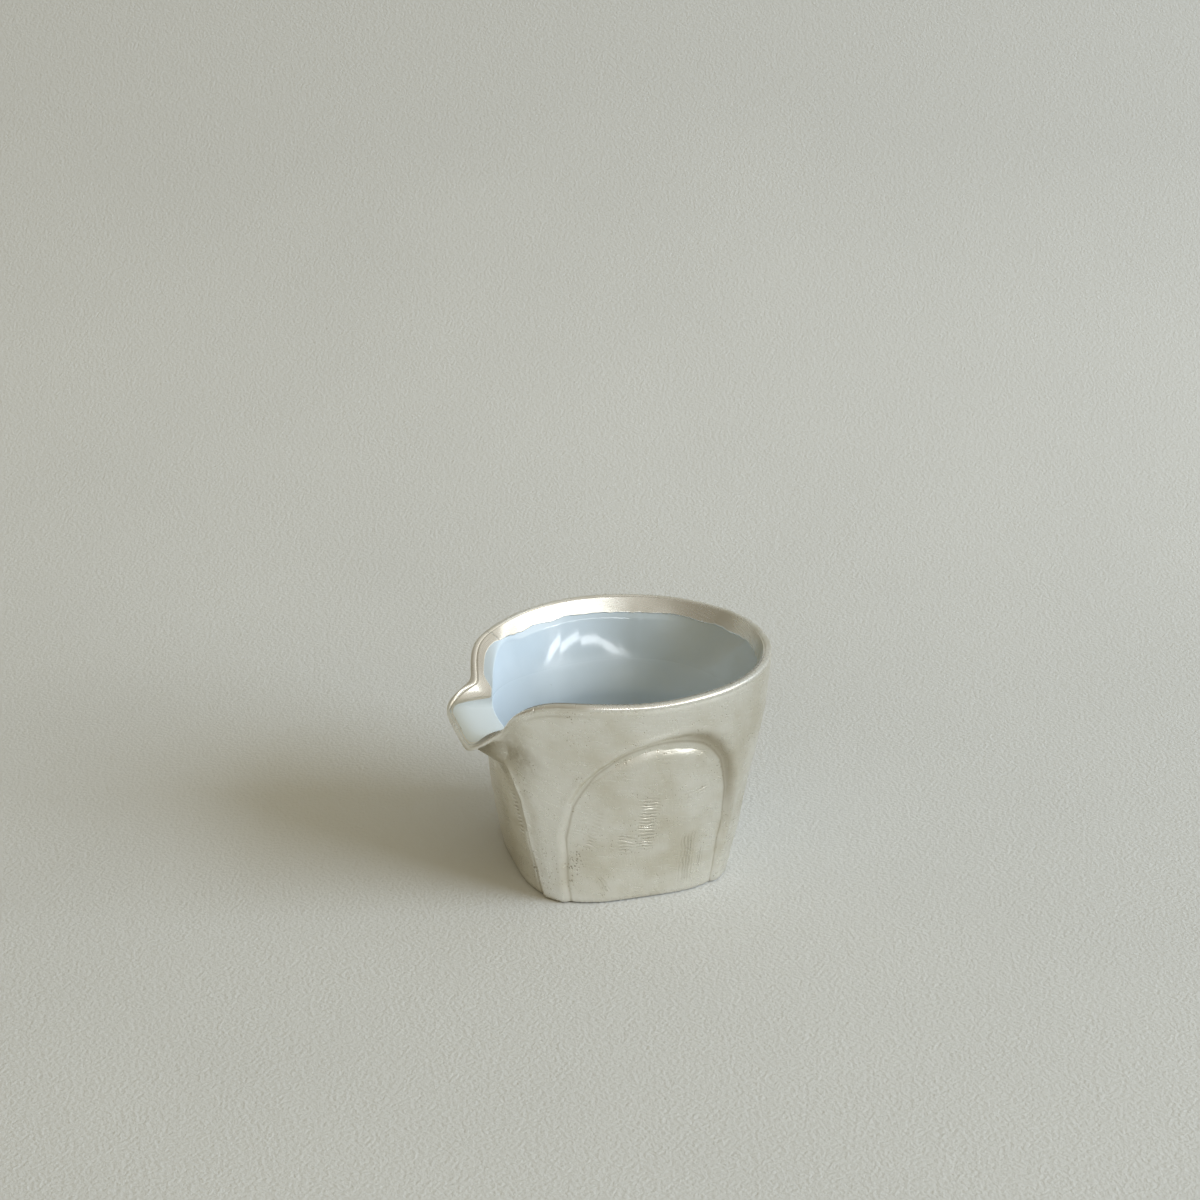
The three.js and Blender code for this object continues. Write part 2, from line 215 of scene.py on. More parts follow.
@dataclass(frozen=True)
class VesselForm:
    """Sizes of the vessel in millimetres, angles in degrees from the spout."""

    rim_height: float = 64.6
    rim_half_length: float = 43.4
    rim_half_width: float = 40.17
    rim_setback: float = 2.4
    base_half_length: float = 30.2
    base_half_width: float = 31.2
    base_squareness: float = 3.6
    wall_bulge: float = 1.9
    wall_tuck: float = 1.8
    tuck_spread: float = 24.0
    spout_reach: float = 46.5
    spout_half_width: float = 18.4
    spout_squareness: float = 8.0
    spout_drop: float = 19.3
    spout_angle: float = 29.0
    spout_steepness: float = 5.2
    spout_fillet: float = 0.9
    root_fillet: float = 3.2
    spout_flare: float = 2.7
    flare_angle: float = 35.0
    flare_spread: float = 9.5
    spout_undercut: float = 3.0
    swing_power: float = 2.8
    lip_face: float = 1.3
    trough_fall: float = 0.9
    trough_dish: float = 1.6
    trough_steepness: float = 3.0
    trough_foot: float = 12.6
    root_power: float = 0.6
    root_fold: float = 0.3
    shift_angle: float = 21.0
    shift_spread: float = 3.2
    inner_shift: float = 2.3
    fold_depth: float = 6.0
    rim_thickness: float = 2.0
    lip_thickness: float = 0.9
    band_bar: float = 1.5
    band_depth: float = 5.0
    lip_band: float = 0.35
    root_band: float = 1.8
    band_wander: float = 2.2
    least_band: float = 0.03
    most_band: float = 0.92
    most_foot: float = 0.93
    build_up: float = 4.2
    bowl_lean: float = 6.5
    lean_fall: float = 22.0
    lean_power: float = 1.2
    bend: float = 0.1
    bend_height: float = 52.2
    bend_reach: float = 6.0
    bend_ahead: float = 0.0064
    bend_behind: float = 0.0115
    bend_lowest: float = 43.0
    floor_top: float = 3.9
    floor_corner: float = 7.0
    foot_round: float = 0.9
    panel_depth: float = 1.8
    hand_wave: float = 0.25


@dataclass(frozen=True)
class Spans:
    """Where one rule gives way to the next: degrees from the spout, heights in millimetres."""

    lip: Span = (12.0, 20.0)
    trough: Span = (18.5, 24.5)
    root_start: Span = (24.0, 29.0)
    root_end: Span = (46.0, 58.0)
    band_foot: Span = (24.2, 27.5)
    band: Span = (24.0, 54.0)
    fold: Span = (28.0, 58.0)
    lean: Span = (20.0, 70.0)
    bend_start: Span = (45.0, 62.0)
    bend_end: Span = (122.0, 142.0)
    bend_height: Span = (28.0, 42.0)


SPANS = Spans()


class ShapeTree(NodeSheet):
    """A geometry tree that places the points of a plain grid by the vessel's rules."""

    def __init__(self, name: str, form: VesselForm) -> None:
        """Makes the tree with one named input for each size.

        Args:
            name: Name of the tree.
            form: The sizes.
        """
        super().__init__(bpy.data.node_groups.new(name, "GeometryNodeTree"))
        face = self.tree.interface
        face.new_socket("Grid", in_out="INPUT", socket_type="NodeSocketGeometry")
        face.new_socket("Piece", in_out="OUTPUT", socket_type="NodeSocketGeometry")
        self.settings: dict[str, float] = {}
        entry = self.node("NodeGroupInput")
        self.sizes = SimpleNamespace()
        for size in fields(form):
            label = size.name.replace("_", " ")
            socket = face.new_socket(label, in_out="INPUT", socket_type="NodeSocketFloat")
            self.settings[socket.identifier] = getattr(form, size.name)
            setattr(self.sizes, size.name, Value(self, entry.outputs[label]))
        self.flow = entry.outputs["Grid"]

    def attribute(self, name: str) -> Value:
        """A number stored on the grid's points."""
        return self.value("GeometryNodeInputNamedAttribute", {"data_type": "FLOAT"}, {"Name": name})

    def vector(self, x: Value | float, y: Value | float, z: Value | float) -> Socket:
        """A vector from three numbers."""
        return self.node("ShaderNodeCombineXYZ", None, {0: x, 1: y, 2: z}).outputs[0]

    def through(self, kind: str, sockets: dict, settings: dict | None = None) -> None:
        """Leads the geometry through one more node."""
        made = self.node(kind, settings, {"Geometry": self.flow, **sockets})
        self.flow = made.outputs[0]

    def keep(self, name: str, given: object, data_type: str = "FLOAT") -> None:
        """Stores a number or a vector on the points for the finishes to read."""
        settings = {"data_type": data_type, "domain": "POINT"}
        self.through("GeometryNodeStoreNamedAttribute", {"Name": name, "Value": given}, settings)

    def place(self, radius: Value, height: Value, rules: "VesselRules") -> None:
        """Moves the points to a radius and a height in millimetres, in their own directions."""
        spot = self.vector(radius * rules.c * MM, radius * rules.s * MM, height * MM)
        self.through("GeometryNodeSetPosition", {"Position": spot})

    def close(self, finish: Material) -> None:
        """Welds the poles and ends the tree in a plain mesh.

        Args:
            finish: Material of the piece.
        """
        self.through("GeometryNodeMergeByDistance", {"Distance": WELD * MM})
        self.through("GeometryNodeRealizeInstances", {})
        self.through("GeometryNodeSetMaterial", {"Material": finish})
        self.node("NodeGroupOutput", None, {"Piece": self.flow})


class VesselRules:
    """The vessel's shape as expressions over the direction round the axis."""

    def __init__(self, tree: ShapeTree) -> None:
        """Works out what depends on the direction alone.

        Args:
            tree: The geometry tree that the expressions go into.
        """
        self.tree = tree
        f = self.f = tree.sizes
        self.turn = tree.attribute("turn")
        self.fold = abs(self.turn)
        angle = self.turn * RAD
        self.c = angle.of("COSINE")
        self.s = angle.of("SINE")
        self.mouth = self.ellipse()
        self.foot = self.rounded(f.base_half_length, f.base_half_width, f.base_squareness)
        self.tip = f.rim_height - f.spout_drop
        self.share = self.spout_share(self.fold)
        slow, quick = (angle * 5.0 + 0.7).of("SINE"), (angle * 9.0).of("SINE")
        self.wave = f.hand_wave * (slow * 0.3 + quick * 0.2 + 0.5)
        self.edge_height = f.rim_height - f.spout_drop * self.share - self.wave
        shift = (self.fold - f.shift_angle).bell(f.shift_spread) * f.inner_shift
        level = self.spout_share(self.fold + shift)
        self.inner_height = f.rim_height - f.spout_drop * level - self.wave
        self.lip = 1.0 - self.fold.smooth(*SPANS.lip)
        self.edge = self.edge_plan(0.0, 0.0, f.spout_fillet)
        self.swell = self.edge_plan(0.0, 0.0, f.root_fillet)
        self.inner = self.edge_plan(f.rim_thickness, f.lip_thickness, f.spout_fillet)

    def ellipse(self) -> Value:
        """Plan of the mouth, an ellipse set back behind the middle of the foot.

        Returns:
            Its radius.
        """
        f = self.f
        along = (self.c * self.c) / (f.rim_half_length ** 2.0)
        a = along + (self.s * self.s) / (f.rim_half_width ** 2.0)
        b = f.rim_setback * self.c / (f.rim_half_length ** 2.0)
        k = (f.rim_setback / f.rim_half_length) ** 2.0 - 1.0
        return ((b * b - a * k).of("SQRT") - b) / a

    def rounded(self, length: Value, width: Value, power: Value) -> Value:
        """Radius of a rounded rectangle of half sizes, squarer with a higher power than 2."""
        c, s = (abs(self.c) / length) ** power, (abs(self.s) / width) ** power
        return (c + s) ** (-1.0 / power)

    def spout_share(self, fold: Value) -> Value:
        """1 along the spout, falling to 0 round the rest of the mouth."""
        return 1.0 / ((fold / self.f.spout_angle) ** self.f.spout_steepness + 1.0)

    def edge_plan(self, rim: Value | float, lip: Value | float, fillet: Value) -> Value:
        """Plan of the edge, where the tongue of the spout blends into the flared mouth.

        Args:
            rim: How far the line is set in along the rim and the sides of the spout.
            lip: How far it is set in along the lip.
            fillet: How softly the tongue runs into the mouth.

        Returns:
            Radius of the line.
        """
        f = self.f
        mouth = self.mouth + f.spout_flare * (self.fold - f.flare_angle).bell(f.flare_spread) - rim
        ahead = self.fold.of("LESS_THAN", 90.0)
        tongue = self.rounded(f.spout_reach - lip, f.spout_half_width - rim, f.spout_squareness) * ahead
        blend = (((mouth - tongue) / fillet).of("EXPONENT") + 1.0).of("LOGARITHM", math.e)
        return tongue + fillet * blend

    def body(self, z: Value) -> Value:
        """The wall without its spout.

        Args:
            z: Height.

        Returns:
            Radius there.
        """
        f = self.f
        share = (z / f.rim_height).between(0.0, 1.0)
        opened = 1.0 - (1.0 - share) ** f.wall_bulge
        tuck = f.wall_tuck * self.fold.bell(f.tuck_spread) * z.smooth(0.0, self.tip)
        return mix(self.foot, self.mouth, opened) - tuck

    def outer(self, z: Value) -> Value:
        """The silver's outside: the wall swings out under the spout to meet the edge.

        Args:
            z: Height.

        Returns:
            Radius there.
        """
        f = self.f
        top = self.edge_height - f.lip_face
        start = self.tip - f.spout_undercut
        rise = ((z - start) / (top - start)).between(0.0, 1.0)
        plan = mix(self.swell, self.edge, rise ** 5.0)
        reach = plan - self.body(top)
        return self.body(z.of("MINIMUM", top)) + reach * rise ** f.swing_power

    def set_in(self, z: Value) -> tuple[Value, Value]:
        """The inner wall, square to the outer one.

        Args:
            z: Height on the outer wall.

        Returns:
            Radius and height of the inner wall.
        """
        f = self.f
        fall = ((f.rim_height - f.fold_depth - z) / f.lean_fall).between(0.0, 1.0)
        lean = f.bowl_lean * self.fold.smooth(*SPANS.lean) * (1.0 - (1.0 - fall) ** f.lean_power)
        slope = (self.body(z + SLOPE_STEP) - self.body(z - SLOPE_STEP)) / (2 * SLOPE_STEP)
        length = (slope * slope + 1.0).of("SQRT")
        depth = f.build_up + lean + self.bend(z)
        return self.body(z) - depth / length, z + depth * slope / length

    def bend(self, z: Value) -> Value:
        """A soft bend along the bowl's sides, highest at the middle of each side.

        Args:
            z: Height.

        Returns:
            How far the wall comes in there.
        """
        f = self.f
        off = self.fold - 90.0
        droop = mix(f.bend_ahead, f.bend_behind, off.of("GREATER_THAN", 0.0))
        way = (z - (f.bend_height - off * off * droop).of("MAXIMUM", f.bend_lowest)) / f.bend_reach
        start, end = self.fold.smooth(*SPANS.bend_start), self.fold.smooth(*SPANS.bend_end)
        sides = start * (1.0 - end) * z.smooth(*SPANS.bend_height)
        return f.bend * f.bend_reach * way.of("COSH").of("LOGARITHM", math.e) * sides

    def crease_height(self) -> Value:
        """The line where the trough or the fold meets the inner wall.

        Returns:
            Its height.
        """
        f = self.f
        side = self.inner * abs(self.s)
        dish = (side / f.spout_half_width).of("MINIMUM", 1.0) ** 3.0
        bed = self.tip + f.trough_fall + f.trough_dish * dish
        fold_depth = f.fold_depth * mix(f.root_fold, 1.0, self.fold.smooth(*SPANS.fold))
        return bed.of("MAXIMUM", self.edge_height - fold_depth)

    def shelf(self, share: Value) -> tuple[Value, Value, Value]:
        """A place on the way from the edge to the crease.

        Args:
            share: 0 at the edge and 1 at the crease.

        Returns:
            Radius and height there, and the length of the whole way.
        """
        low_r, low_z = self.set_in(self.crease_height())
        drop = self.inner_height - low_z
        across = self.inner - low_r
        length = (drop * drop + across * across).of("SQRT")
        steep = self.f.trough_steepness * (1.0 - self.fold.smooth(*SPANS.trough))
        root = self.fold.smooth(*SPANS.root_start) * (1.0 - self.fold.smooth(*SPANS.root_end))
        power = mix(self.share + steep + 1.0, self.f.root_power, root)
        sag = (1.0 - share).of("MAXIMUM", 0.0) ** power
        return mix(self.inner, low_r, share), low_z + drop * sag, length

    def band_share(self) -> Value:
        """How far the silver band comes down; its cut edge wanders a little.

        Returns:
            Share of the way from the edge to the crease.
        """
        f = self.f
        round_about = self.tree.vector(self.c, self.s, 0.0)
        uneven = (self.tree.noise(round_about, 5.0, 2.0) - 0.5) * f.band_wander
        depth = mix(f.root_band, f.band_depth + uneven, self.fold.smooth(*SPANS.band))
        depth = mix(depth, f.lip_band, self.lip)
        low_r, _ = self.set_in(self.crease_height())
        foot = (self.inner - f.trough_foot / abs(self.s).of("MAXIMUM", 0.05)) / (self.inner - low_r)
        share = (depth / self.shelf(self.lip * 0.0)[2]).between(f.least_band, f.most_band)
        beside = share.of("MAXIMUM", foot.of("MINIMUM", f.most_foot))
        return mix(beside, share, self.fold.smooth(*SPANS.band_foot))


@dataclass(frozen=True)
class Arch:
    """One arched panel: half widths at the foot and waist, spring and top heights, sideways lean."""

    foot: float
    waist: float
    spring: float
    top: float
    lean: float
    power: float = 2.4

    def inside(self, along: Value, z: Value) -> Value:
        """How deep a place lies inside the arch.

        Args:
            along: Place along the panel.
            z: Height.

        Returns:
            Distance from the arch, negative outside it.
        """
        width = mix(self.foot, self.waist, (z / self.spring).between(0.0, 1.0))
        middle = ((z / self.top).between(0.0, 1.0) ** 3.0) * self.lean
        across = abs(along - middle) / width
        up = (z - self.spring).of("MAXIMUM", 0.0) / (self.top - self.spring)
        return width * (1.0 - (across ** self.power + up ** self.power) ** (1 / self.power))


def warped(count: int, warp: float = 0.42) -> list[float]:
    """Directions round the axis in degrees, closer together at the spout."""
    turns = (2 * math.pi * i / count for i in range(count))
    return [(u - warp * math.sin(u)) / RAD for u in turns]


def steps(count: int, power: float = 1.0) -> list[float]:
    """Shares from 0 to 1, closer together towards 1 where the power is above 1."""
    return [1 - (1 - i / (count - 1)) ** power for i in range(count)]


@dataclass(frozen=True)
class Grid:
    """A sheet of quads, one column for each direction and one row for each place in a section.

    Rows are named numbers, anticlockwise seen with the axis on the left. In a ring the last
    direction joins the first, and in a loop the last row joins the first.
    """

    turns: list[float]
    rows: list[dict[str, float]]
    ring: bool
    loop: bool

    def mesh(self, name: str) -> bpy.types.Mesh:
        """Builds the quads and stores the rows' numbers on the points.

        Args:
            name: Name of the mesh.

        Returns:
            The mesh, with all its points still at the origin.
        """
        wide, tall = len(self.turns), len(self.rows)
        quads = []
        for i in range(wide if self.ring else wide - 1):
            a, b = i * tall, ((i + 1) % wide) * tall
            for j in range(tall if self.loop else tall - 1):
                k = (j + 1) % tall
                quads.append((a + j, b + j, b + k, a + k))
        smooth = [True] * len(quads)
        if not self.ring:
            quads += [tuple(range(tall)), tuple(range(wide * tall - 1, (wide - 1) * tall - 1, -1))]
            smooth += [False, False]
        made = bpy.data.meshes.new(name)
        made.from_pydata([(0.0, 0.0, 0.0)] * (wide * tall), [], quads)
        made.polygons.foreach_set("use_smooth", smooth)
        columns = {"turn": [((t + 180) % 360) - 180 for t in self.turns for _ in self.rows]}
        for key in self.rows[0]:
            columns[key] = [row[key] for row in self.rows] * wide
        for key, numbers in columns.items():
            made.attributes.new(key, "FLOAT", "POINT").data.foreach_set("value", numbers)
        return made


class Piece:
    """A named piece of the pitcher that is made by a geometry tree."""

    def __init__(self, name: str, grid: Grid, tree: ShapeTree) -> None:
        """Makes the object and turns the tree's result into its plain mesh.

        Args:
            name: Name of the piece.
            grid: Layout of its points.
            tree: The finished tree.
        """
        self.thing = bpy.data.objects.new(name, grid.mesh(name))
        bpy.context.scene.collection.objects.link(self.thing)
        maker = self.thing.modifiers.new("rule", "NODES")
        maker.node_group = tree.tree
        for identifier, size in tree.settings.items():
            maker[identifier] = size
        graph = bpy.context.evaluated_depsgraph_get()
        done = bpy.data.meshes.new_from_object(
            self.thing.evaluated_get(graph), preserve_all_data_layers=True, depsgraph=graph)
        self.thing.modifiers.clear()
        self.thing.data = done
        done.name = name

    def stand_for(self, slot: Slot, *nodes: str) -> None:
        """Ties the piece to the part's frame.

        Args:
            slot: Its material slot; not used.
            nodes: The nodes that it stands for.
        """
        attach(self.thing, "root")
        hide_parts(*nodes)
        LOG.info("%s: %d faces", self.thing.name, len(self.thing.data.polygons))


class FinishSheet(NodeSheet):
    """A material that is being drawn."""

    def __init__(self, name: str, **constants: object) -> None:
        """Makes the material with its shader.

        Args:
            name: Name of the material.
            constants: Shader sockets that are the same all over, by name with _ for a space.
        """
        self.material = bpy.data.materials.new(name)
        self.material.use_nodes = True
        super().__init__(self.material.node_tree)
        self.shader = next(n for n in self.tree.nodes if n.type == "BSDF_PRINCIPLED")
        for key, given in constants.items():
            self.feed(self.shader.inputs[key.replace("_", " ")], given)
        self.here = self.out(self.node("ShaderNodeTexCoord"), "Object")

    def stored(self, name: str, key: str = "Fac") -> Socket:
        """A number or vector that a piece stores on its points."""
        return self.out(self.node("ShaderNodeAttribute", {"attribute_name": name}), key)

    def paint(self, colour: object, roughness: Value, height: Value, depth: float) -> None:
        """Feeds the shader.

        Args:
            colour: Base colour.
            roughness: Roughness over the surface.
            height: Relief from 0 to about 1.
            depth: Depth in millimetres of a relief of 1.
        """
        relief = {"Strength": 1.0, "Distance": depth * MM, "Height": height}
        bump = self.node("ShaderNodeBump", None, relief)
        self.feed(self.shader.inputs["Base Color"], colour)
        self.feed(self.shader.inputs["Roughness"], roughness)
        self.feed(self.shader.inputs["Normal"], bump.outputs[0])


@dataclass(frozen=True)
class Strokes:
    """A patch of short parallel tool strokes on a panel, in millimetres along and up."""

    along: float
    up: float
    half_length: float
    half_rise: float
    angle: float
    pitch: float = 1.1

    def mark(self, along: Value, up: Value, sway: Value) -> Value:
        """1 in the strokes of the patch and 0 elsewhere.

        Args:
            along: Place along the panel.
            up: Height.
            sway: Random values about 0 that bend the strokes and fray the patch.

        Returns:
            The mark.
        """
        c, s = math.cos(self.angle * RAD), math.sin(self.angle * RAD)
        a = (along - self.along) * c + (up - self.up) * s + sway * 5.0
        b = (up - self.up) * c - (along - self.along) * s + sway * 1.7
        patch = (self.half_length - abs(a)).smooth(-0.4, 1.2)
        patch = patch * (self.half_rise - abs(b)).smooth(-0.4, 2.0)
        wave = abs((b / self.pitch).of("FRACT") - 0.5)
        return patch * wave.smooth(0.05, 0.5)


@dataclass(frozen=True)
class ChasedSilver:
    """Satin silver with brushed scratches, planishing and patches of tool strokes, with painted shade
    in the grooves on the right and top, under the spout root and along the foot.
    """

    clean: Colour = (0.955, 0.945, 0.895, 1.0)
    warm: Colour = (0.8, 0.768, 0.67, 1.0)
    groove: Colour = (0.42, 0.37, 0.27, 1.0)
    depth: float = 0.13
    smudge_at: Span = (33.8, 44.6)
    patches: tuple = (
        Strokes(0.7, 26.5, 2.7, 9.5, 3.0, 1.0),
        Strokes(-11.8, 12.0, 8.8, 2.9, 92.0, 1.0),
        Strokes(-16.4, 11.0, 3.6, 1.5, 96.0, 0.9),
        Strokes(12.6, 6.5, 3.2, 1.7, 58.0, 1.0),
        Strokes(15.5, 24.5, 1.5, 7.0, 14.0, 1.2),
        Strokes(-14.0, 33.5, 4.0, 2.6, -8.0, 1.1),
        Strokes(6.5, 20.0, 2.4, 4.0, 6.0, 1.1),
    )

    def make(self) -> Material:
        """Draws the material.

        Returns:
            The material.
        """
        sheet = FinishSheet("chased_silver", Metallic=1.0)
        flat = sheet.stored("wall_uv", "Vector")
        names = ("inside", "seam", "hollow", "along")
        inside, seam, hollow, along = (Value(sheet, sheet.stored(name)) for name in names)
        up = sheet.parts(flat)[1]
        brushed = sheet.noise(sheet.turned(flat, 8.0, (0.1, 2.8, 1.0)), 1.0, 3.0)
        crossed = sheet.noise(sheet.turned(flat, 81.0, (0.12, 2.6, 1.0)), 1.0, 3.0)
        beaten = sheet.noise(sheet.here, 170.0, 1.0)
        cloud = sheet.noise(sheet.here, 55.0, 3.0)
        grain = sheet.noise(sheet.here, 1500.0, 2.0)
        sway = sheet.noise(flat, 0.3, 2.0) - 0.5
        strokes = sum(patch.mark(along, up, sway) for patch in self.patches)
        strokes = strokes * inside.smooth(0.8, 2.0) * cloud.smooth(0.32, 0.52)
        dots = sheet.value("ShaderNodeTexVoronoi", {"feature": "F1"}, {"Vector": flat, "Scale": 0.95})
        row = (along - 20.2).bell(2.0) * (up - 13.0).bell(6.5)
        beside = (inside - 1.4).bell(1.0) * cloud.smooth(0.5, 0.6) * 0.6
        stipple = (0.36 - dots).smooth(0.0, 0.16) * (row + beside)
        line = (inside - 0.05).bell(0.32)
        # Painted shade: the panel grooves are darkened on the right side and towards the top, where the
        # hollow share is high.
        shade = (inside + 1.2).bell(1.3) * hollow
        # Painted shade in the hollow under the root of the spout.
        smudge = self.smudge(sheet)
        pick = sheet.noise(sheet.here, 130.0, 1.0)
        pits = (0.24 - dots).smooth(0.0, 0.14) * pick.smooth(0.5, 0.62)
        relief = brushed * 0.14 + crossed * 0.1 + beaten * 1.1 + grain * 0.28
        relief = relief - strokes * 1.15 - stipple * 1.1 - seam * 0.4 - pits * 0.6
        # Dark mix: tarnish in the chased line, seam, strokes, stipple and pits, together with painted
        # shade in the grooves, under the spout root and along the foot.
        stain_and_shade = line * 0.42 + shade * 0.85 + smudge * 0.7 + seam * 0.3
        # up.bell(0.9) is painted shade: a dark line along the foot, where the wall meets the floor.
        stain_and_shade = stain_and_shade + strokes * 0.3 + stipple * 0.6 + pits * 0.7 + up.bell(0.9) * 0.5
        base = sheet.blend(self.clean, self.warm, cloud.smooth(0.35, 0.7))
        base = sheet.blend(base, self.groove, stain_and_shade.between(0.0, 0.9))
        roughness = brushed * 0.12 + crossed * 0.08 + 0.19 + line * 0.1
        sheet.paint(base, roughness, relief, self.depth)
        return sheet.material

    def smudge(self, sheet: FinishSheet) -> Value:
        """Painted shade below the root of the spout, where the wall hollows under it.

        Args:
            sheet: The material that is being drawn.

        Returns:
            Share of painted shade.
        """
        x, y, z = (part / MM for part in sheet.parts(sheet.here))
        uneven = sheet.noise(sheet.here, 420.0, 3.0)
        out, up = x - self.smudge_at[0], z - self.smudge_at[1]
        down = out * 0.55 + up * 0.83
        across = out * 0.83 - up * 0.55
        return down.bell(5.5) * across.bell(3.4) * y.smooth(4.0, 12.0) * uneven.smooth(0.15, 0.6)


@dataclass(frozen=True)
class PolishedSilver:
    """Bright silver of the edge bands, with fine wiping marks and soft dents."""

    bright: Colour = (0.92, 0.905, 0.855, 1.0)
    warm: Colour = (0.8, 0.775, 0.69, 1.0)

    def make(self) -> Material:
        """Draws the material.

        Returns:
            The material.
        """
        sheet = FinishSheet("polished_silver", Metallic=1.0)
        flat = sheet.stored("band_uv", "Vector")
        wiped = sheet.noise(sheet.turned(flat, 12.0, (0.1, 3.0, 1.0)), 1.0, 3.0)
        dented = sheet.noise(sheet.here, 210.0, 1.0)
        cloud = sheet.noise(sheet.here, 75.0, 3.0)
        base = sheet.blend(self.bright, self.warm, cloud.smooth(0.42, 0.72))
        roughness = wiped * 0.1 + cloud * 0.08 + 0.19
        sheet.paint(base, roughness, dented, 0.05)
        return sheet.material


@dataclass(frozen=True)
class GlazedPorcelain:
    """Pale blue-white gloss glaze, cloudy, with a few pinholes and duller low in the bowl; the trough
    bed is painted whiter and bluer as painted light.
    """

    pale: Colour = (0.585, 0.67, 0.745, 1.0)
    cool: Colour = (0.54, 0.63, 0.71, 1.0)
    # bed: painted light, a whiter and bluer glaze colour where the trough is brightly lit.
    bed: Colour = (0.79, 0.9, 1.0, 1.0)
    speck: Colour = (0.42, 0.45, 0.47, 1.0)
    clear_from: Span = (44.0, 50.0)

    def make(self) -> Material:
        """Draws the material.

        Returns:
            The material.
        """
        sheet = FinishSheet("glazed_porcelain", IOR=1.6)
        clear = (sheet.parts(sheet.here)[2] / MM).smooth(*self.clear_from)
        cloud = sheet.noise(sheet.here, 38.0, 4.0)
        spread = {"Vector": sheet.here, "Scale": 160.0}
        cells = sheet.value("ShaderNodeTexVoronoi", {"feature": "F1"}, spread)
        pick = sheet.noise(sheet.here, 95.0, 0.0)
        pinhole = (0.045 - cells).smooth(0.0, 0.02) * pick.smooth(0.56, 0.62)
        base = sheet.blend(self.pale, self.cool, cloud.smooth(0.38, 0.66))
        # Painted light: the trough bed is blended towards the whiter bed colour.
        base = sheet.blend(base, self.bed, Value(sheet, sheet.stored("bed")))
        base = sheet.blend(base, self.speck, pinhole * 0.6)
        roughness = cloud * 0.06 + 0.42 - clear * 0.37
        sheet.paint(base, roughness, cloud * 0.1 - pinhole * 0.4, 0.1)
        return sheet.material


@dataclass(frozen=True)
class PlateSilver:
    """Silver of the foot plate: fine scratches and table wear."""

    clean: Colour = (0.82, 0.8, 0.7, 1.0)
    worn: Colour = (0.6, 0.57, 0.47, 1.0)

    def make(self) -> Material:
        """Draws the material.

        Returns:
            The material.
        """
        sheet = FinishSheet("plate_silver", Metallic=1.0)
        scratch = sheet.noise(sheet.turned(sheet.here, 30.0, (150.0, 2200.0, 400.0)), 1.0, 3.0)
        cloud = sheet.noise(sheet.here, 90.0, 4.0)
        base = sheet.blend(self.clean, self.worn, cloud.smooth(0.4, 0.7))
        sheet.paint(base, scratch * 0.18 + 0.3, scratch * 0.6 + cloud * 0.5, 0.05)
        return sheet.material


